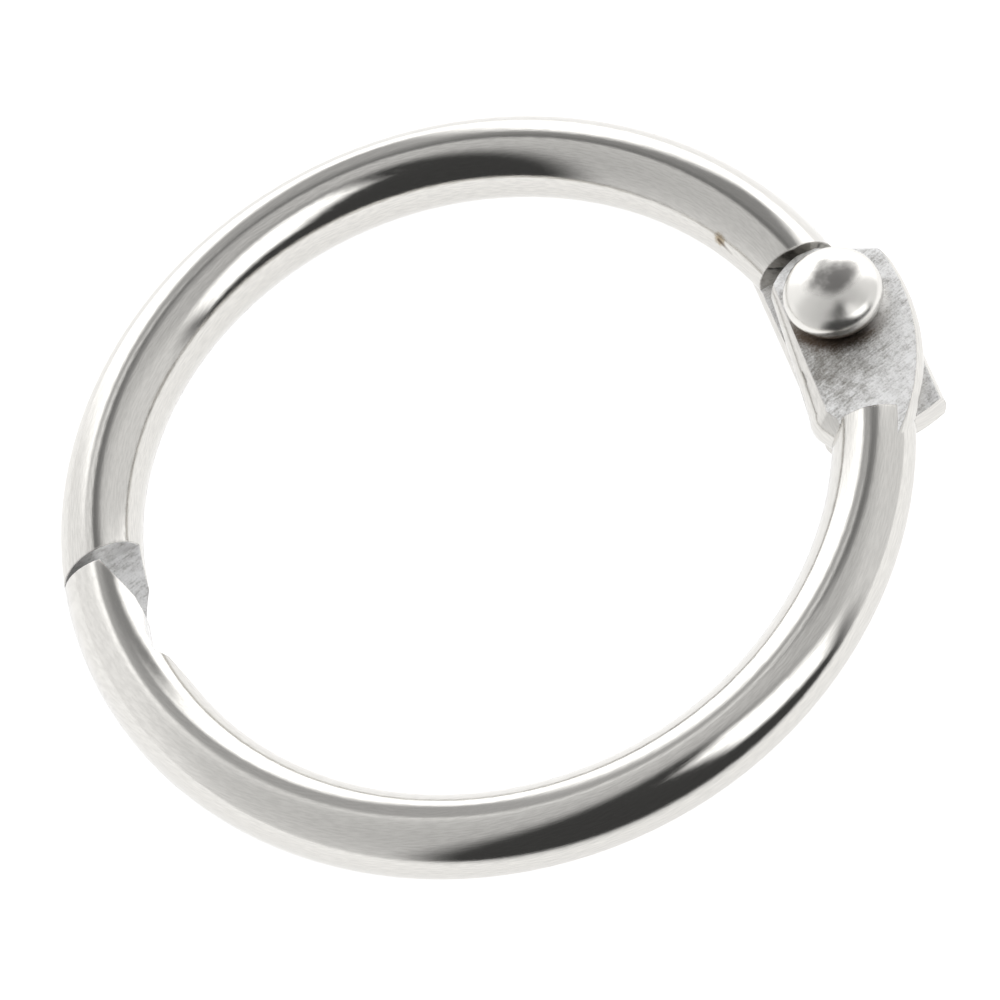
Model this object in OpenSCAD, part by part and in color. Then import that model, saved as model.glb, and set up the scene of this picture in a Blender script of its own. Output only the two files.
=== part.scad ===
// Hinged loose-leaf ring of round plated wire. Two half circles lap over each other at a riveted
// hinge, where the wire is pressed into flat tongues, and lap again at the closing tips.
// The ring lies in the XY plane: the hinge is on +X, the closing tips on -X, the front faces +Z.

/* [Ring] */
// Inside diameter of the closed ring
inside_d = 25; // [19:0.5:50]
// Thickness of the round wire
wire_d = 3; // [2.8:0.1:3.6]
// Share by which the front half's bend opens out towards its tongue
front_ease = 0.085; // [0.02:0.005:0.12]
// Degrees of the front half over which the bend opens out
ease_deg = 60; // [45:1:75]

/* [Hinge tongues] */
// Width of the rear tongue over its bulging edges
rear_w = 4.55; // [4.3:0.05:5.2]
// Thickness of a pressed tongue
tongue_t = 1.07; // [0.9:0.01:1.2]
// Radius of the bowed outer edge of the front tongue
front_bow_r = 8.33; // [7.5:0.01:10]
// How far that edge stands out past the round wire
front_bow_out = 1.37; // [1.2:0.01:1.45]
// How far below the rivet that edge stands out most
front_bow_down = 0.39; // [0.2:0.01:0.6]
// Distance of the front tongue's straight inner edge from the wire's circle
front_in = 1.35; // [1.25:0.01:1.45]
// Rounding of that inner edge at the tip
front_round_tip = 0.3; // [0.2:0.01:0.4]
// Rounding of that inner edge at its root
front_round_root = 0.93; // [0.8:0.01:1]
// Distance from the rivet to the root, where the inner edge runs into the round wire
front_root = 4.05; // [3.8:0.05:4.3]
// How far the rear tongue's middle line lies outside the wire's circle
rear_out = 0.25; // [0.1:0.01:0.5]
// Length of the front tongue's square end past the rivet
front_tip = 2.45; // [2.2:0.05:2.45]
// Slant of the front tongue's outer corner
front_slant = 26; // [15:1:35]
// Reach of the front tongue's corners about the rivet
front_tip_r = 2.54; // [2.46:0.02:2.7]
// Rounded end of the rear tongue, about the rivet
rear_tip_r = 5.1; // [4.6:0.05:5.6]
// Distance from the rivet to the step that ends the front tongue's outer flat
front_flat = 4.83; // [4.4:0.01:5]
// Slant of that step
front_flat_slant = 10; // [0:1:20]
// Distance from the rivet to the step that ends the rear tongue's outer flat
rear_flat = 2.95; // [2.6:0.05:3.4]
// Slant of the rear half's shoulder at the hinge
rear_wall_slant = 6; // [0:1:8]
// Clearance between a tongue's swinging end and the shoulder of the other half
swing_gap = 0.1; // [0.08:0.01:0.3]

/* [Rivet] */
// How far the rivet lies outside the wire's circle
rivet_out = 0.38; // [0.2:0.01:0.6]
// Distance of the rivet from the ring's middle line
rivet_up = 0.93; // [0:0.01:1.2]
// Thickness of the rivet's shank
shank_d = 2; // [1.6:0.05:2.2]
// Width of the domed head
head_d = 3.65; // [3:0.05:3.8]
// Height of the domed head
head_h = 1.42; // [1.36:0.02:1.7]
// Rounding of the head's rim
head_rim = 0.65; // [0.5:0.01:0.75]
// Height of the widest part of the head
head_wide = 0.45; // [0.35:0.01:0.5]
// How far the head was set off the shank's middle, towards the inside of the ring
head_in = 0.07; // [0:0.01:0.15]
// How far the head was set off the shank's middle, away from the front half
head_up = 0.1; // [0:0.01:0.2]
// Width of the formed head at the back
tail_d = 3.2; // [2.8:0.05:3.6]
// Height of the formed head at the back
tail_h = 0.7; // [0.5:0.05:1]

/* [Closing tips] */
// Where round the ring the middle of the lap lies, in degrees from the hinge
lap_at = 178.2; // [170:0.1:190]
// Length of the lap along the wire, from shoulder to shoulder
lap_l = 4.8; // [4.4:0.05:6]
// Slope of the lapped faces, which leaves each tip thicker at its root
lap_slope = 9; // [0:0.5:12]
// Slant of the shoulders across the wire
lap_slant = 9; // [0:0.5:10]
// Lean of the notch on the inner side of the rear tip
rear_lean = 18; // [0:1:25]
// Gap between each tip and the shoulder it meets, at the wire's middle
tip_gap = 0.4; // [0.36:0.02:0.6]

/* [Fits] */
// Free play between the lapped faces of the two halves
lap_play = 0.06; // [0.04:0.01:0.1]
// Free play of the rivet in the front half, on the radius
rivet_play = 0.05; // [0.02:0.01:0.09]

/* [Hidden] */
$fn = 96;
nickel = [0.80, 0.79, 0.76];
wire_r = wire_d / 2;
ring_r = (inside_d + wire_d) / 2;
far = 3 * wire_d;
ease_r = ring_r * (1 + front_ease);
ease_at = (ease_r - ring_r) * [-cos(ease_deg), sin(ease_deg)];
rivet_at = [ring_r + rivet_out, rivet_up];
lap_z = lap_play / 2;
flat_z = lap_z + tongue_t;
edge_r = 0.87 * tongue_t;
edge_x = rear_w / 2 - edge_r;
edge_z = lap_z + tongue_t / 2;
// where the bulging edge of a tongue runs into the side of the round wire
side_q = sqrt(wire_r * wire_r - edge_z * edge_z) - edge_r;
rear_wall = front_tip_r + swing_gap;
front_wall = rear_tip_r + 1.8 * swing_gap;
bore_r = shank_d / 2 + rivet_play;
tip_l = lap_l / 2 - tip_gap;
tip_deg = lap_l / ring_r * 180 / PI;
bow_at = [ring_r + wire_r + front_bow_out - front_bow_r, rivet_at[1] - front_bow_down];
bow_r = front_bow_r - edge_r;

// a point on the bend, out from its middle line by q
function on_bend(mid, r, a, q) = mid + (r + q) * [cos(a), sin(a)];
// the angle on the bend at which it passes the height y
function bend_angle(mid, r, y) = asin((y - mid[1]) / r);
// the way a line runs from one point to the next
function heading(a, b) = atan2(b[1] - a[1], b[0] - a[0]);
// how far a round edge runs past a corner of its line to mitre with the next one
function mitre(line, i) =
  i == 0 || i == len(line) - 1 ? 0 :
  1.1 * edge_r * tan(abs(heading(line[i], line[i + 1]) - heading(line[i - 1], line[i])) / 2);

// round wire bent from one angle to another about the middle of the bend
module bend(mid, r, a0, a1) {
  translate([mid[0], mid[1], 0])
    rotate_extrude(angle = a1 - a0, start = a0)
      translate([r, 0])
        circle(r = wire_r);
}

// the bulging edge of a pressed tongue along a line of points
module bulge(line) {
  for (i = [0:len(line) - 2]) {
    run = line[i + 1] - line[i];
    translate([line[i][0], line[i][1], edge_z])
      rotate([0, 90, heading(line[i], line[i + 1])])
        translate([0, 0, -mitre(line, i)])
          cylinder(r = edge_r, h = norm(run) + mitre(line, i) + mitre(line, i + 1));
  }
}

// wire pressed flat: a plate above the lap face with bulging sides, narrowing into the round wire
module tongue(inner, outer) {
  intersection() {
    translate([ring_r - far, -2 * far, lap_z])
      cube([2 * far, 4 * far, tongue_t]);
    union() {
      linear_extrude(2 * tongue_t)
        polygon(concat(inner, [for (i = [len(outer) - 1:-1:0]) outer[i]]));
      bulge(inner);
      bulge(outer);
    }
  }
}

// a block right across the tongues, between two distances from the rivet and two heights
module across(y0, y1, z0, z1, slant = 0) {
  translate([rivet_at[0], rivet_at[1], z0])
    rotate([0, 0, -slant])
      translate([-far, y0, 0])
        cube([2 * far, y1 - y0, z1 - z0]);
}

// the front tongue's tip in plan: a square end with slanting corners, inside its swing circle
module front_tip_plan() {
  w = 3 * wire_r;
  intersection() {
    polygon([
      [-w, -far],
      [w, -far],
      [w, front_tip - w * tan(front_slant)],
      [0, front_tip],
      [-w / 4, front_tip],
      [-w, front_tip - 0.6 * w]
    ]);
    union() {
      circle(r = front_tip_r);
      translate([-w, -far])
        square([2 * w, far]);
    }
  }
}

// a round bar along +Z from a half-round end about the origin
module round_ended(r, l) {
  rotate_extrude() {
    square([r, l]);
    intersection() {
      circle(r = r);
      translate([0, -r])
        square([r, r + l]);
    }
  }
}

// the front tongue's plate with its edges, before its faces and its tip are trimmed
module front_plate() {
  tip_y = rivet_at[1] + front_tip;
  root = [ring_r - front_in, rivet_at[1] - front_root];
  wire_at = on_bend(ease_at, ease_r, bend_angle(ease_at, ease_r, root[1] - wire_r), 0);
  bow_from = bend_angle(bow_at, bow_r, wire_at[1]);
  bow_to = bend_angle(bow_at, bow_r, tip_y + wire_r);
  grow = front_round_root - front_round_tip;
  // plate between the straight inner edge and the bowed outer one
  linear_extrude(2 * tongue_t)
    intersection() {
      translate(bow_at)
        circle(r = bow_r);
      translate([root[0], root[1] - wire_r / 2])
        square([far, tip_y - root[1] + wire_r]);
    }
  // bulging outer edge
  translate([bow_at[0], bow_at[1], edge_z])
    rotate_extrude(start = bow_from, angle = bow_to - bow_from)
      translate([bow_r, 0])
        circle(r = edge_r);
  // rounding of the inner edge, which grows to the root
  translate([root[0], tip_y, flat_z + lap_z - front_round_tip])
    rotate([90 + atan2(grow, tip_y - root[1]), 0, 0])
      cylinder(r1 = front_round_tip, r2 = front_round_root, h = norm([grow, tip_y - root[1]]));
  // its run into the wire
  translate([root[0], root[1], flat_z - front_round_root])
    rotate([0, 90, heading(root, wire_at)])
      round_ended(front_round_root + lap_z, norm(wire_at - root));
}

module front_tongue() {
  intersection() {
    translate([ring_r - far, -2 * far, lap_z])
      cube([2 * far, 4 * far, tongue_t]);
    front_plate();
    union() {
      across(-2 * far, -far / 2, -far, far);
      translate([rivet_at[0], rivet_at[1], -far])
        linear_extrude(2 * far)
          front_tip_plan();
    }
  }
}

module rear_tongue() {
  x = ring_r + rear_out;
  root = bend_angle([0, 0], ring_r, rivet_at[1] + rear_wall + wire_r);
  intersection() {
    mirror([0, 0, 1])
      tongue(
        [
          on_bend([0, 0], ring_r, root, -side_q / 2),
          [x - edge_x, -far]
        ],
        [
          on_bend([0, 0], ring_r, root, side_q / 2),
          [x + edge_x, rivet_at[1] + 0.1 * rear_wall],
          [x + edge_x, -far]
        ]
      );
    union() {
      across(0, 2 * far, -far, far);
      translate([rivet_at[0], rivet_at[1], -far])
        cylinder(r = rear_tip_r, h = 2 * far);
    }
  }
}

// places what is drawn about the wire's middle at the lap: x outwards, y on round the ring
module at_lap() {
  rotate([0, 0, lap_at])
    translate([ring_r, 0, 0])
      children();
}

// what the rear tip's lap takes from the wire: all above a sloping face, as far as an upright shoulder
module rear_lap() {
  lean = far / 2 * tan(lap_slant);
  intersection() {
    rotate([-lap_slope, 0, 0])
      translate([-far, -far, -lap_z])
        cube([2 * far, 3 * far, far]);
    translate([0, 0, -far / 2])
      linear_extrude(far)
        polygon([
          [-far / 2, -lap_l / 2 - lean],
          [far / 2, -lap_l / 2 + lean],
          [far / 2, far],
          [-far / 2, far]
        ]);
  }
}

// all past the end of a tip
module past_tip() {
  translate([-far / 2, tip_l, -far])
    cube([far, far, 2 * far]);
}

// plan of the slanting trim on the inner side of the front tip, run out along the wire
module front_trim() {
  translate([0, 0, -far])
    linear_extrude(2 * far)
      polygon([
        [0.16 * wire_r, -0.6 * lap_l],
        [-0.2 * wire_r, -0.41 * lap_l],
        [-0.7 * wire_r, -0.05 * lap_l],
        [-0.77 * wire_r, 0.08 * lap_l],
        [-0.69 * wire_r, 0.25 * lap_l],
        [-0.72 * wire_r, 0.455 * lap_l],
        [-wire_r, 0.51 * lap_l],
        [-1.7 * wire_r, 1.05 * lap_l],
        [-2.4 * wire_r, 1.05 * lap_l],
        [-2.4 * wire_r, -0.6 * lap_l]
      ]);
}

// plan of the notch on the inner side of the rear tip, which leaves a small barb at its end
module rear_trim() {
  rotate([0, -rear_lean, 0])
    translate([0, 0, -far])
      linear_extrude(2 * far)
        polygon([
          [-1.3 * wire_r, -0.48 * lap_l],
          [-0.75 * wire_r, -0.02 * lap_l],
          [-0.67 * wire_r, 0.11 * lap_l],
          [-0.69 * wire_r, 0.3 * lap_l],
          [-1.05 * wire_r, 0.42 * lap_l],
          [-2.4 * wire_r, 0.42 * lap_l],
          [-2.4 * wire_r, -0.48 * lap_l]
        ]);
}

module front_half() {
  wire_end = bend_angle(ease_at, ease_r, -wire_r / 2);
  join = 360 - ease_deg;
  color(nickel)
    difference() {
      union() {
        difference() {
          union() {
            bend([0, 0], ring_r, lap_at - tip_deg, join);
            bend(ease_at, ease_r, join, 360 + wire_end);
          }
          // lap at the hinge, and the outer flat pressed over it
          across(-front_wall, far, -far, lap_z);
          across(-front_flat, far, flat_z, far, front_flat_slant);
          // lap at the tip, its end and the trim of its inner side
          at_lap() {
            rotate([180, 0, 0]) {
              rear_lap();
              past_tip();
            }
            front_trim();
          }
        }
        front_tongue();
      }
      translate([rivet_at[0], rivet_at[1], -far])
        cylinder(r = bore_r, h = 2 * far);
    }
}

module rear_half() {
  wire_end = bend_angle([0, 0], ring_r, wire_r / 2);
  color(nickel)
    difference() {
      union() {
        difference() {
          bend([0, 0], ring_r, wire_end, lap_at + tip_deg);
          // lap at the hinge, and the outer flat pressed behind it
          across(-far, rear_wall, -lap_z, far, -rear_wall_slant);
          across(-far, rear_flat, -far, -flat_z);
          // lap at the tip, its end and the notch of its inner side
          at_lap() {
            rear_lap();
            past_tip();
            rear_trim();
          }
        }
        rear_tongue();
      }
      translate([rivet_at[0], rivet_at[1], -far])
        cylinder(d = shank_d, h = 2 * far);
    }
}

// a dome of the given width and height on the plane z = 0
module dome(d, h) {
  r = (d * d / 4 + h * h) / (2 * h);
  intersection() {
    translate([0, 0, h - r])
      sphere(r = r);
    cylinder(d = d + 1, h = h + 1);
  }
}

// half of the domed head's section: a flat crown that runs smoothly into a round rim
module head_section() {
  rim_x = head_d / 2 - head_rim;
  rise = head_h - head_wide;
  crown_r = (rim_x * rim_x + rise * rise - head_rim * head_rim) / (2 * (rise - head_rim));
  meet_z = head_h - crown_r + crown_r * (crown_r - rise) / (crown_r - head_rim);
  square([rim_x, meet_z]);
  intersection() {
    translate([rim_x, head_wide])
      circle(r = head_rim);
    square([head_d, meet_z]);
  }
  intersection() {
    translate([0, head_h - crown_r])
      circle(r = crown_r);
    translate([0, meet_z])
      square([head_d, head_h]);
  }
}

module hinge_rivet() {
  color(nickel)
    translate([rivet_at[0], rivet_at[1], 0]) {
      translate([0, 0, -flat_z])
        cylinder(d = shank_d, h = 2 * flat_z + lap_z);
      translate([-head_in, head_up, flat_z + lap_z])
        rotate_extrude()
          head_section();
      mirror([0, 0, 1])
        translate([0, 0, flat_z])
          dome(tail_d, tail_h);
    }
}

front_half();
rear_half();
hinge_rivet();
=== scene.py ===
"""Looks of the hinged loose-leaf ring: bright nickel plate on a white sheet in a soft light tent."""

import functools
import math

import bpy
from mathutils import Matrix, Vector


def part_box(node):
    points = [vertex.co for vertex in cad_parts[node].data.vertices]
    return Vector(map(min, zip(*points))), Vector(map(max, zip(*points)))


bl_info = {
    "name": "Loose-leaf ring",
    "version": (1, 0, 0),
    "blender": (4, 5, 0),
    "location": "3D View > Sidebar > Ring",
    "description": "Plates a hinged loose-leaf ring and sets it on a white sheet in a light tent",
    "category": "Object",
}

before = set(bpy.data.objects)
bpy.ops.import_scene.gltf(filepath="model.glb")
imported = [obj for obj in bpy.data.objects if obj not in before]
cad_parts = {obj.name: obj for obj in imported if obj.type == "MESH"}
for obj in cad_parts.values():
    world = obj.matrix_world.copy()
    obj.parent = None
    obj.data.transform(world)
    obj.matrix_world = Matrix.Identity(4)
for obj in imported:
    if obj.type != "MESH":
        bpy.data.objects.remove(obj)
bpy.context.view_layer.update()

MM = 0.001
WHITE = (1, 1, 1, 1)
BLACK = (0, 0, 0, 1)
# settings of a soft Map Range node and of a Mix node for colours, and that node's sockets
SMOOTH = {"interpolation_type": "SMOOTHSTEP"}
COLOURS = {"data_type": "RGBA"}
MIX_BY, MIX_A, MIX_B = 0, 6, 7
# most of a noise texture's values lie between these, about this middle
NOISE = (0.3, 0.7)
NOISE_MIDDLE = 0.5
RIVET = "hinge_rivet"
WIRE_R = 1.5 * MM
RING_R = 14 * MM
RIVET_X = 14.38 * MM
# the bends that each half's wire follows: middle and radius, as in the CAD
# the streaks run along the last one
BENDS = {
    "front_half": (((0, 0, 0), RING_R), ((-0.595 * MM, 1.03 * MM, 0), 15.19 * MM)),
    "rear_half": (((0, 0, 0), RING_R),),
}
# what each half mirrors is turned about this line, as though they weren't bent in quite one plane
LEAN_AXIS = (0.60, 0.68, 0.42)
LEAN_SIDE = {"front_half": -1, "rear_half": 1}

# a pressed face is this level and lies this far below the wire's ridge
LEVEL_FACE = (0.95, 0.985)
PRESSED_BELOW = (0.90 * WIRE_R, 0.85 * WIRE_R)
# a cut face lies this far off the round wire, beyond this place on the way to the closing tips
CUT_OFF = (0.02 * MM, 0.05 * MM)
TIPS_BEYOND = (-10 * MM, -11 * MM)

# a small scuff in the plating on the inner side of the rear half, and the scratch that runs off it
SCUFF_AT = (11.42 * MM, 5.56 * MM, 0.70 * MM)
SCUFF_R = (0.36 * MM, 0.10 * MM)
SCRATCH = (Vector((11.36, 5.57, 0.66)) * MM, Vector((11.60, 4.92, 0.50)) * MM)
SCRATCH_R = (0.10 * MM, 0.02 * MM)
SCRATCH_FADE = (0.8, 0.2)
# how far the grain takes the borders of the scuff and of the painted shade under the rivet head in and
# out
RAGGED = 0.3 * MM

# painted shade under the rivet head, in a grime colour: it lies round the head's axis, on the side
# where the shade falls
HEAD_AT = (14.31 * MM, 1.03 * MM, 0)
DIRT_AND_SHADE_R = (2.45 * MM, 1.85 * MM)
SHADED_SIDE = (-0.42, -0.91, 0)
SHADED_SIDE_BEYOND = (0.2 * MM, 1.7 * MM)
DIRT_AND_SHADE_SHARE = 0.9
# painted sheen: away from this place at the head's inner side the pressed and cut faces are painted
# lighter, which shifts the values of the grain
SHEEN_AWAY_FROM = (12.8 * MM, -0.7 * MM, 0)
SHEEN_R = (0.8 * MM, 3.6 * MM)
SHEEN_SHIFT = 0.16
# painted glints on the pressed faces' grain: from where to where in the grain the specks grow light,
# and how light
GLINT_SPECKS = (0.36, 0.76)
GLINT_LIGHT = 0.9
# share of the grain in the tool marks, and of the blotches in both
GRAIN_SHARE = 0.5
BLOTCH_SHARE = 0.3
# how much darker the drawing streaks are
STREAK_SHADE = 0.10
# roughness below and above the finish's own
POLISH_SPREAD = (0.03, 0.05)
SATIN_SPREAD = (0.12, 0.10)
HAZE_SPREAD = (0.05, 0.05)

# dull spot on the crown, an oval that is narrower along Y
DULL_AT = (14.46 * MM, 1.10 * MM, 0)
DULL_R = (1.15 * MM, 0.55 * MM)
DULL_OVAL = (1, 1.35, 0)
# how far the waves take its border in and out, and from where to where they cloud it, and how much
CLOUDY = 0.6 * MM
CLOUDS = (0.45, 0.70)
CLOUD_LIGHT = 0.3

# what the ring mirrors: a level that slopes, and patches on it
# a patch has a level, the softness of its border, and corners as azimuth from +X and angle from
# straight up; a later one lies over those before it
TENT_LEVEL = 0.87
TENT_SLOPE = (-0.04, 0.20, -0.24)
PATCHES = {
    "right wall": (0.88, 0.20, [(325, 52), (50, 40), (40, 112), (325, 112)]),
    "white back wall": (1.12, 0.17, [
        (182, 30), (84, 33), (30, 52), (10, 102), (90, 130), (168, 104),
    ]),
    "lit part of the back wall": (1.9, 0.15, [
        (116, 42), (84, 33), (30, 52), (10, 102), (90, 130), (120, 104),
    ]),
    "seam of the back wall": (0.50, 0.07, [(112, 36), (68, 34), (81, 72), (90, 70)]),
    "shaded fold": (0.32, 0.08, [(48, 18), (48, 62), (54, 66), (88, 36)]),
    "vent in the top": (0.22, 0.05, [(62, 24), (62, 32), (84, 33), (88, 24)]),
    "dark room in front": (0.06, 0.15, [(284, 5), (222, 80), (225, 112), (325, 112), (330, 75)]),
    "soft box": (1.9, 0.10, [(282, 34), (295, 63), (321, 76), (332, 48), (305, 18)]),
}
# nearest and farthest that the camera sees
CLIP = (10 * MM, 10)


class RingFinish(bpy.types.PropertyGroup):
    """Colours and polish of the plating."""

    nickel: bpy.props.StringProperty(
        name="Nickel", description="Colour of the bright nickel plate", default="#DAD8D4"
    )
    # darker than the satin's own tone, to paint the shade deep in the grain
    pressed: bpy.props.StringProperty(
        name="Pressed", description="Colour of the pressed and cut faces", default="#8E8B86"
    )
    head: bpy.props.StringProperty(
        name="Head", description="Colour of the plated rivet", default="#E4E2DE"
    )
    dull: bpy.props.StringProperty(
        name="Dull", description="Colour of the dull spot that the riveting tool left on the head",
        default="#868482"
    )
    # colour of the grime in the scratch, and also of the painted shade under the rivet head
    grime_and_shade: bpy.props.StringProperty(
        name="Grime and shade", description="Colour of the dirt under the rivet head and in the scratch",
        default="#4A3B2E"
    )
    scuff: bpy.props.StringProperty(
        name="Scuff", description="Colour of the scuff in the plating", default="#A39784"
    )
    polish: bpy.props.FloatProperty(
        name="Polish", description="Roughness of the drawn and plated wire",
        default=0.08, min=0, max=1
    )
    haze: bpy.props.FloatProperty(
        name="Haze", description="Roughness of the rivet head", default=0.22, min=0, max=1
    )
    satin: bpy.props.FloatProperty(
        name="Satin", description="Roughness of the pressed and cut faces",
        default=0.42, min=0, max=1
    )
    grain: bpy.props.FloatProperty(
        name="Grain", description="Size of the grain on the pressed faces",
        default=0.08 * MM, unit="LENGTH"
    )
    scratch: bpy.props.FloatProperty(
        name="Scratch", description="Length of the tool marks on the pressed faces",
        default=0.45 * MM, unit="LENGTH"
    )
    scratch_turn: bpy.props.FloatProperty(
        name="Scratch turn", description="Way the tool marks run, from +X",
        default=math.radians(18), subtype="ANGLE"
    )
    tool_depth: bpy.props.FloatProperty(
        name="Tool depth", description="Depth of the tool marks", default=0.036 * MM, unit="LENGTH"
    )
    streak: bpy.props.FloatProperty(
        name="Streak", description="Width of the drawing streaks along the wire",
        default=0.055 * MM, unit="LENGTH"
    )
    streak_length: bpy.props.FloatProperty(
        name="Streak length", description="Length of the drawing streaks",
        default=0.5 * MM, unit="LENGTH"
    )
    streak_depth: bpy.props.FloatProperty(
        name="Streak depth", description="Depth of the drawing streaks",
        default=0.0012 * MM, unit="LENGTH"
    )
    die_mark: bpy.props.FloatProperty(
        name="Die mark", description="Size of the waves that the die left on the head",
        default=0.67 * MM, unit="LENGTH"
    )
    die_depth: bpy.props.FloatProperty(
        name="Die depth", description="Depth of the waves on the head",
        default=0.006 * MM, unit="LENGTH"
    )
    edge: bpy.props.FloatProperty(
        name="Edge", description="Radius to which tumbling and plating soften an edge",
        default=0.10 * MM, unit="LENGTH"
    )
    lean: bpy.props.FloatProperty(
        name="Lean", description="Turn of what each half mirrors",
        default=math.radians(4.5), subtype="ANGLE"
    )


class RingStudio(bpy.types.PropertyGroup):
    """Camera and light."""

    distance: bpy.props.FloatProperty(
        name="Distance", description="From the camera to the ring's centre",
        default=280 * MM, unit="LENGTH"
    )
    elevation: bpy.props.FloatProperty(
        name="Elevation", description="Height of the camera over the ring's plane",
        default=math.radians(58.12), subtype="ANGLE"
    )
    roll: bpy.props.FloatProperty(
        name="Roll", description="Clockwise roll of the camera",
        default=math.radians(22.26), subtype="ANGLE"
    )
    lens: bpy.props.FloatProperty(
        name="Lens", description="Focal length", default=280.9, unit="CAMERA"
    )
    right: bpy.props.FloatProperty(
        name="Right", description="How far the camera stands to its right of the ring's centre",
        default=0.675 * MM, unit="LENGTH"
    )
    down: bpy.props.FloatProperty(
        name="Down", description="How far the camera stands below the ring's centre in the picture",
        default=0.409 * MM, unit="LENGTH"
    )
    sheet: bpy.props.StringProperty(
        name="Sheet", description="Colour of the white sheet under the lamps", default="#BCBCBC"
    )
    sheet_reach: bpy.props.FloatProperty(
        name="Sheet reach", description="How far the white sheet reaches to the sides and the back",
        default=400 * MM, unit="LENGTH"
    )
    sheet_front: bpy.props.FloatProperty(
        name="Sheet front", description="How far the white sheet reaches in front of the ring's centre",
        default=32 * MM, unit="LENGTH"
    )
    sheet_fade: bpy.props.FloatProperty(
        name="Sheet fade", description="Depth over which the sheet's front edge fades out",
        default=15 * MM, unit="LENGTH"
    )
    sheet_seen: bpy.props.FloatProperty(
        name="Sheet seen", description="Level added to the sheet where the camera sees it",
        default=0.88, min=0, max=1
    )
    sheet_mirrored: bpy.props.FloatProperty(
        name="Sheet mirrored", description="Level added to the sheet where the ring mirrors it",
        default=0.85, min=0, max=1
    )


def linear(hex_colour):
    """An sRGB hex colour as linear red, green, blue and alpha."""
    values = [int(hex_colour[i:i + 2], 16) / 255 for i in (1, 3, 5)]
    return [v / 12.92 if v <= 0.04045 else ((v + 0.055) / 1.055) ** 2.4 for v in values] + [1.0]


def add_node(tree, kind, inputs=(), **settings):
    """Adds a node with its settings and links.

    The inputs, in order or by socket, are values, or sockets or nodes to link from.
    """
    node = tree.nodes.new(kind)
    for name, value in settings.items():
        setattr(node, name, value)
    for socket, value in inputs.items() if isinstance(inputs, dict) else enumerate(inputs):
        if isinstance(value, bpy.types.Node):
            value = next(out for out in value.outputs if out.enabled)
        if isinstance(value, bpy.types.NodeSocket):
            tree.links.new(value, node.inputs[socket])
        else:
            node.inputs[socket].default_value = value
    return node


def new_material(name):
    """An empty material, and the function that adds nodes to it."""
    material = bpy.data.materials.new(name)
    material.use_nodes = True
    material.node_tree.nodes.clear()
    return material, functools.partial(add_node, material.node_tree)


def from_axis(node, position, axis_at, shape=(1, 1, 0)):
    """How far a point lies from an upright axis, and the way there from the axis."""
    way = node("ShaderNodeVectorMath", (position, axis_at), operation="SUBTRACT")
    level = node("ShaderNodeVectorMath", (way, shape), operation="MULTIPLY")
    return node("ShaderNodeVectorMath", (level,), operation="LENGTH"), way


def about_wire(node, position, middle, radius):
    """How far a point lies off the round wire on a bend, and its angles round and along it."""
    spread, way = from_axis(node, position, middle)
    x, y, z = node("ShaderNodeSeparateXYZ", (way,)).outputs
    outward = node("ShaderNodeMath", (spread, radius), operation="SUBTRACT")
    section = node("ShaderNodeCombineXYZ", (outward, z))
    depth = node("ShaderNodeVectorMath", (section,), operation="LENGTH")
    gap = node("ShaderNodeMath", (depth, WIRE_R), operation="SUBTRACT")
    off = node("ShaderNodeMath", (gap,), operation="ABSOLUTE")
    round_it = node("ShaderNodeMath", (z, outward), operation="ARCTAN2")
    along_it = node("ShaderNodeMath", (y, x), operation="ARCTAN2")
    return off, round_it, along_it


def from_scratch(node, position):
    """How far a point lies from the scratch, and its share of the way along it."""
    start, end = SCRATCH
    run = end - start
    way = node("ShaderNodeVectorMath", (position, start), operation="SUBTRACT")
    share = node("ShaderNodeVectorMath", (way, run / run.length_squared), operation="DOT_PRODUCT")
    share = node("ShaderNodeClamp", (share,))
    nearest = node("ShaderNodeVectorMath", {0: run, "Scale": share}, operation="SCALE")
    return node("ShaderNodeVectorMath", (way, nearest), operation="DISTANCE"), share


def worn_faces(node, name, position):
    """Masks of the faces that aren't drawn wire: level pressed ones, and those with the cut ones.

    Pressed faces are level and lie below the wire's ridge. Cut ones lie off the round wire at the
    closing tips. Also gives the angles round the wire and along it.
    """
    x, _, z = node("ShaderNodeSeparateXYZ", (position,)).outputs
    normal = node("ShaderNodeNewGeometry").outputs["True Normal"]
    facing = node("ShaderNodeSeparateXYZ", (normal,)).outputs
    up = node("ShaderNodeMath", (facing[2],), operation="ABSOLUTE")
    height = node("ShaderNodeMath", (z,), operation="ABSOLUTE")
    level = node("ShaderNodeMath", (
        node("ShaderNodeMapRange", (up, *LEVEL_FACE), **SMOOTH),
        node("ShaderNodeMapRange", (height, *PRESSED_BELOW), **SMOOTH),
    ), operation="MULTIPLY")
    gap = None
    for middle, radius in BENDS[name]:
        off, round_it, along_it = about_wire(node, position, middle, radius)
        gap = off if gap is None else node("ShaderNodeMath", (gap, off), operation="MINIMUM")
    cut = node("ShaderNodeMath", (
        node("ShaderNodeMapRange", (gap, *CUT_OFF), **SMOOTH),
        node("ShaderNodeMapRange", (x, *TIPS_BEYOND), **SMOOTH),
    ), operation="MULTIPLY")
    return level, node("ShaderNodeMath", (level, cut), operation="MAXIMUM"), round_it, along_it


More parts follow.
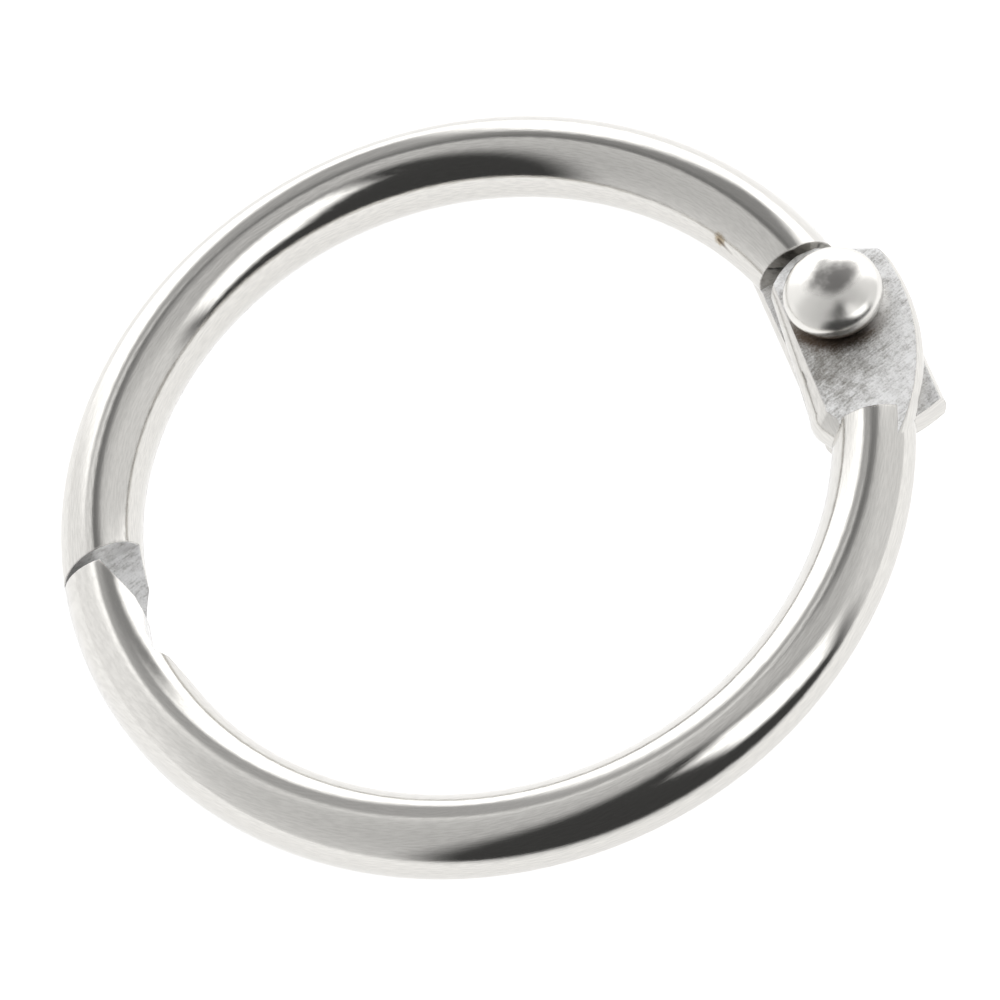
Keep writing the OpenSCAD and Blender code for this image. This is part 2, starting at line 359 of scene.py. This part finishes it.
def half_plate(name, finish):
    """Bright nickel on drawn steel wire, barrel-plated after the ends were pressed and cut.

    The drawn wire mirrors the tent sharply, with faint streaks along it. The pressed flats and
    the cut laps keep the tool's grain and marks, so they look satin; their grey is darkened as
    painted shade deep in the grain, its light specks are painted glints, and they are painted
    lighter away from the rivet head as a painted sheen. Painted shade lies on one side under the head.
    """
    material, node = new_material(name + "_nickel")
    position = node("ShaderNodeTexCoord").outputs["Object"]
    level, pressed, round_it, along_it = worn_faces(node, name, position)

    # grain and marks of the press tool; the real grain is finer, and this is as coarse as it needs
    # to show
    turned = node("ShaderNodeVectorRotate", {
        "Vector": position, "Angle": -finish.scratch_turn,
    }, rotation_type="Z_AXIS")
    stretched = node("ShaderNodeVectorMath", (
        turned, (1 / finish.scratch, 1 / finish.grain, 1 / finish.grain),
    ), operation="MULTIPLY")
    marks = node("ShaderNodeTexNoise", {
        "Vector": stretched, "Scale": 1.0, "Detail": 3.0, "Roughness": 0.6,
    })
    grains = node("ShaderNodeTexNoise", {
        "Vector": position, "Scale": 1 / finish.grain, "Detail": 2.0, "Roughness": 0.7,
    })
    blotches = node("ShaderNodeTexNoise", {
        "Vector": position, "Scale": 1 / finish.scratch, "Detail": 1.0,
    })
    fine = node("ShaderNodeMix", {"Factor": GRAIN_SHARE, "A": marks, "B": grains})
    tooled = node("ShaderNodeMix", {"Factor": BLOTCH_SHARE, "A": fine, "B": blotches})

    # streaks of the drawing die, long along the wire and fine across it; the real ones are too fine
    # to show, and these are as coarse as they need
    course = node("ShaderNodeCombineXYZ", (
        node("ShaderNodeMath", (round_it, WIRE_R / finish.streak), operation="MULTIPLY"),
        node("ShaderNodeMath", (along_it, RING_R / finish.streak_length), operation="MULTIPLY"),
    ))
    streaks = node("ShaderNodeTexNoise", {
        "Vector": course, "Scale": 1.0, "Detail": 2.0, "Roughness": 0.5,
    })

    # plate on the wire; on the pressed faces a grey with specks of painted glint, painted lighter away
    # from the rivet head as a painted sheen
    faint = node("ShaderNodeMapRange", (streaks, *NOISE, 0.0, STREAK_SHADE), **SMOOTH)
    colour = node("ShaderNodeMix", {
        MIX_BY: faint, MIX_A: linear(finish.nickel), MIX_B: BLACK,
    }, **COLOURS)
    far = from_axis(node, position, SHEEN_AWAY_FROM)[0]
    painted_sheen = node("ShaderNodeMapRange", (far, *SHEEN_R, 0.0, SHEEN_SHIFT), **SMOOTH)
    bright = node("ShaderNodeMath", (tooled, painted_sheen), operation="ADD")
    glint_specks = node("ShaderNodeMapRange", (bright, *GLINT_SPECKS, 0.0, GLINT_LIGHT), **SMOOTH)
    satin = node("ShaderNodeMix", {
        MIX_BY: glint_specks, MIX_A: linear(finish.pressed), MIX_B: WHITE,
    }, **COLOURS)
    colour = node("ShaderNodeMix", {MIX_BY: pressed, MIX_A: colour, MIX_B: satin}, **COLOURS)

    # the scuff and its scratch, ragged by the grain
    ragged = node("ShaderNodeMath", (
        node("ShaderNodeMath", (grains, NOISE_MIDDLE), operation="SUBTRACT"), RAGGED,
    ), operation="MULTIPLY")
    near = node("ShaderNodeVectorMath", (position, SCUFF_AT), operation="DISTANCE")
    near = node("ShaderNodeMath", (near, ragged), operation="ADD")
    scuff = node("ShaderNodeMapRange", (near, *SCUFF_R), **SMOOTH)
    colour = node("ShaderNodeMix", {
        MIX_BY: scuff, MIX_A: colour, MIX_B: linear(finish.scuff),
    }, **COLOURS)
    near, share = from_scratch(node, position)
    line = node("ShaderNodeMapRange", (near, *SCRATCH_R), **SMOOTH)
    fade = node("ShaderNodeMapRange", (share, 0.0, 1.0, *SCRATCH_FADE), **SMOOTH)
    line = node("ShaderNodeMath", (line, fade), operation="MULTIPLY")
    colour = node("ShaderNodeMix", {
        MIX_BY: line, MIX_A: colour, MIX_B: linear(finish.grime_and_shade),
    }, **COLOURS)

    # painted shade in the seam under the rivet head, on the side where the shade falls, coloured like
    # grime
    spread, way = from_axis(node, position, HEAD_AT)
    spread = node("ShaderNodeMath", (spread, ragged), operation="ADD")
    below = node("ShaderNodeVectorMath", (way, SHADED_SIDE), operation="DOT_PRODUCT")
    dirt_and_shade = node("ShaderNodeMath", (
        node("ShaderNodeMapRange", (spread, *DIRT_AND_SHADE_R), **SMOOTH),
        node("ShaderNodeMapRange", (below, *SHADED_SIDE_BEYOND, 0.0, DIRT_AND_SHADE_SHARE), **SMOOTH),
    ), operation="MULTIPLY")
    dirt_and_shade = node("ShaderNodeMath", (dirt_and_shade, level), operation="MULTIPLY")
    colour = node("ShaderNodeMix", {
        MIX_BY: dirt_and_shade, MIX_A: colour, MIX_B: linear(finish.grime_and_shade),
    }, **COLOURS)

    # polish and relief
    polish = node("ShaderNodeMapRange", (
        streaks, *NOISE, finish.polish - POLISH_SPREAD[0], finish.polish + POLISH_SPREAD[1],
    ), **SMOOTH)
    satin = node("ShaderNodeMapRange", (
        tooled, *NOISE, finish.satin - SATIN_SPREAD[0], finish.satin + SATIN_SPREAD[1],
    ), **SMOOTH)
    shallow = node("ShaderNodeMath", (
        streaks, finish.streak_depth / finish.tool_depth,
    ), operation="MULTIPLY")
    relief = node("ShaderNodeMix", {"Factor": pressed, "A": shallow, "B": tooled})
    raised = node("ShaderNodeBump", {
        "Strength": 1.0, "Distance": finish.tool_depth, "Height": relief,
        "Normal": node("ShaderNodeBevel", {"Radius": finish.edge}, samples=2),
    })
    leaning = node("ShaderNodeVectorRotate", {
        "Vector": raised, "Axis": LEAN_AXIS, "Angle": LEAN_SIDE[name] * finish.lean,
    }, rotation_type="AXIS_ANGLE")
    shader = node("ShaderNodeBsdfPrincipled", {
        "Base Color": colour, "Metallic": 1.0, "Normal": leaning,
        "Roughness": node("ShaderNodeMix", {"Factor": pressed, "A": polish, "B": satin}),
    })
    node("ShaderNodeOutputMaterial", {"Surface": shader})
    return material


def rivet_plate(finish):
    """Bright nickel on a cold-headed steel rivet.

    The head mirrors the tent with a soft haze and slight waves from the die. The tool that closed
    the rivet left a dull, cloudy spot on the crown.
    """
    material, node = new_material("rivet_nickel")
    position = node("ShaderNodeTexCoord").outputs["Object"]
    waves = node("ShaderNodeTexNoise", {
        "Vector": position, "Scale": 1 / finish.die_mark, "Detail": 3.0, "Roughness": 0.5,
    })
    spread, way = from_axis(node, position, DULL_AT, DULL_OVAL)
    ragged = node("ShaderNodeMath", (
        node("ShaderNodeMath", (waves, NOISE_MIDDLE), operation="SUBTRACT"), CLOUDY,
    ), operation="MULTIPLY")
    spread = node("ShaderNodeMath", (spread, ragged), operation="ADD")
    height = node("ShaderNodeSeparateXYZ", (way,)).outputs[2]
    crown = node("ShaderNodeMath", (
        node("ShaderNodeMapRange", (spread, *DULL_R), **SMOOTH),
        node("ShaderNodeMath", (height, 0.0), operation="GREATER_THAN"),
    ), operation="MULTIPLY")
    cloud = node("ShaderNodeMapRange", (waves, *CLOUDS, 0.0, CLOUD_LIGHT), **SMOOTH)
    dull = node("ShaderNodeMix", {
        MIX_BY: cloud, MIX_A: linear(finish.dull), MIX_B: linear(finish.head),
    }, **COLOURS)
    colour = node("ShaderNodeMix", {
        MIX_BY: crown, MIX_A: linear(finish.head), MIX_B: dull,
    }, **COLOURS)
    haze = node("ShaderNodeMapRange", (
        waves, *NOISE, finish.haze - HAZE_SPREAD[0], finish.haze + HAZE_SPREAD[1],
    ), **SMOOTH)
    raised = node("ShaderNodeBump", {
        "Strength": 1.0, "Distance": finish.die_depth, "Height": waves,
        "Normal": node("ShaderNodeBevel", {"Radius": finish.edge}, samples=2),
    })
    shader = node("ShaderNodeBsdfPrincipled", {
        "Base Color": colour, "Metallic": 1.0, "Normal": raised,
        "Roughness": node("ShaderNodeMix", {"Factor": crown, "A": haze, "B": finish.satin}),
    })
    node("ShaderNodeOutputMaterial", {"Surface": shader})
    return material


def plate(name, material):
    """Gives a CAD node its plating."""
    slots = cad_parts[name].data.materials
    slots.clear()
    slots.append(material)


class RING_OT_halves(bpy.types.Operator):
    """Plates the two halves"""

    bl_idname = "ring.halves"
    bl_label = "Plate the halves"

    def execute(self, context):
        for name in BENDS:
            plate(name, half_plate(name, context.scene.ring_finish))
        return {"FINISHED"}


class RING_OT_rivet(bpy.types.Operator):
    """Plates the hinge rivet"""

    bl_idname = "ring.rivet"
    bl_label = "Plate the rivet"

    def execute(self, context):
        plate(RIVET, rivet_plate(context.scene.ring_finish))
        return {"FINISHED"}


def towards(azimuth, zenith):
    """The direction at an azimuth from +X and an angle from straight up, in degrees."""
    a, z = math.radians(azimuth), math.radians(zenith)
    return Vector((math.cos(a) * math.sin(z), math.sin(a) * math.sin(z), math.cos(z)))


def patch(node, direction, corners, border):
    """A mask that is 1 inside a patch of the surroundings and falls off softly at its sides."""
    points = [towards(*c) for c in corners]
    middle = sum(points, Vector())
    inside = 1.0
    for a, b in zip(points, points[1:] + points[:1]):
        side = a.cross(b).normalized()
        if side.dot(middle) < 0:
            side = -side
        inward = node("ShaderNodeVectorMath", (direction, side), operation="DOT_PRODUCT")
        inside = node("ShaderNodeMath", (inside, inward), operation="MINIMUM")
    return node("ShaderNodeMapRange", (inside, -border, border), **SMOOTH)


def light_tent():
    """A light tent: a soft box at the front right, a dark room in front, white at the back."""
    world = bpy.data.worlds.new("light_tent")
    bpy.context.scene.world = world
    world.use_nodes = True
    world.node_tree.nodes.clear()
    node = functools.partial(add_node, world.node_tree)
    direction = node("ShaderNodeTexCoord").outputs["Generated"]
    slope = node("ShaderNodeVectorMath", (direction, TENT_SLOPE), operation="DOT_PRODUCT")
    level = node("ShaderNodeMath", (slope, TENT_LEVEL), operation="ADD")
    for value, border, corners in PATCHES.values():
        mask = patch(node, direction, corners, border)
        level = node("ShaderNodeMix", {"Factor": mask, "A": level, "B": value})
    seen = node("ShaderNodeLightPath").outputs["Is Camera Ray"]
    background = node("ShaderNodeBackground", {
        "Color": WHITE, "Strength": node("ShaderNodeMix", {"Factor": seen, "A": level, "B": 1.0}),
    })
    node("ShaderNodeOutputWorld", {"Surface": background})


def white_card(studio):
    """Matt white card, uncoated.

    It is burnt out to white where the camera or the ring sees it, but for its shadow.
    """
    material, node = new_material("white_card")
    path = node("ShaderNodeLightPath").outputs
    glow = node("ShaderNodeMath", (
        node("ShaderNodeMath", (path["Is Camera Ray"], studio.sheet_seen), operation="MULTIPLY"),
        node("ShaderNodeMath", (path["Is Glossy Ray"], studio.sheet_mirrored), operation="MULTIPLY"),
    ), operation="ADD")
    card = node("ShaderNodeAddShader", (
        node("ShaderNodeBsdfDiffuse", {"Color": linear(studio.sheet)}),
        node("ShaderNodeEmission", {"Strength": glow}),
    ))
    depth = node("ShaderNodeSeparateXYZ", (node("ShaderNodeTexCoord").outputs["Object"],)).outputs[1]
    whole = node("ShaderNodeMapRange", (
        depth, -studio.sheet_front, studio.sheet_fade - studio.sheet_front,
    ), **SMOOTH)
    # from below the card is clear, so that the ring's back can be looked at
    below = node("ShaderNodeNewGeometry").outputs["Backfacing"]
    whole = node("ShaderNodeMath", (whole, below), operation="SUBTRACT", use_clamp=True)
    faded = node("ShaderNodeMixShader", (whole, node("ShaderNodeBsdfTransparent"), card))
    node("ShaderNodeOutputMaterial", {"Surface": faded})
    return material


def white_sheet(studio):
    """A white sheet under the ring, as it comes to rest on the wire and on the rivet's formed head."""
    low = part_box(RIVET)[0].z
    slope = (low + WIRE_R) / (RIVET_X + RING_R)
    reach, front = studio.sheet_reach, studio.sheet_front
    corners = [(-reach, -front), (reach, -front), (reach, reach), (-reach, reach)]
    mesh = bpy.data.meshes.new("white_sheet")
    points = [(x, y, slope * (x + RING_R) - WIRE_R) for x, y in corners]
    mesh.from_pydata(points, [], [(0, 1, 2, 3)])
    mesh.materials.append(white_card(studio))
    sheet = bpy.data.objects.new("white_sheet", mesh)
    bpy.context.scene.collection.objects.link(sheet)


def camera(studio):
    """A camera at the photograph's viewing angle."""
    back = Vector((0, -math.cos(studio.elevation), math.sin(studio.elevation)))
    right = Vector((1, 0, 0))
    up = back.cross(right)
    turn = Matrix.Rotation(-studio.roll, 3, back)
    right, up = turn @ right, turn @ up
    place = back * studio.distance + right * studio.right - up * studio.down
    data = bpy.data.cameras.new("camera")
    data.lens = studio.lens
    data.clip_start, data.clip_end = CLIP
    cam = bpy.data.objects.new("camera", data)
    cam.matrix_world = Matrix.Translation(place) @ Matrix((right, up, back)).transposed().to_4x4()
    bpy.context.scene.collection.objects.link(cam)
    bpy.context.scene.camera = cam


class RING_OT_stage(bpy.types.Operator):
    """Sets up the sheet, the light tent and the camera"""

    bl_idname = "ring.stage"
    bl_label = "Set the stage"

    def execute(self, context):
        studio = context.scene.ring_studio
        white_sheet(studio)
        light_tent()
        camera(studio)
        context.scene.view_settings.view_transform = "Standard"
        return {"FINISHED"}


class RING_PT_panel(bpy.types.Panel):
    """Lists the ring's settings and steps"""

    bl_label = "Loose-leaf ring"
    bl_space_type = "VIEW_3D"
    bl_region_type = "UI"
    bl_category = "Ring"

    def draw(self, context):
        for group in (context.scene.ring_finish, context.scene.ring_studio):
            for name in group.__annotations__:
                self.layout.prop(group, name)
        for step in ("ring.halves", "ring.rivet", "ring.stage"):
            self.layout.operator(step)


CLASSES = (RingFinish, RingStudio, RING_OT_halves, RING_OT_rivet, RING_OT_stage, RING_PT_panel)


def register():
    for cls in CLASSES:
        bpy.utils.register_class(cls)
    bpy.types.Scene.ring_finish = bpy.props.PointerProperty(type=RingFinish)
    bpy.types.Scene.ring_studio = bpy.props.PointerProperty(type=RingStudio)


def unregister():
    del bpy.types.Scene.ring_studio
    del bpy.types.Scene.ring_finish
    for cls in reversed(CLASSES):
        bpy.utils.unregister_class(cls)


def main():
    register()
    bpy.ops.ring.halves()
    bpy.ops.ring.rivet()
    bpy.ops.ring.stage()


if __name__ == "__main__":
    main()
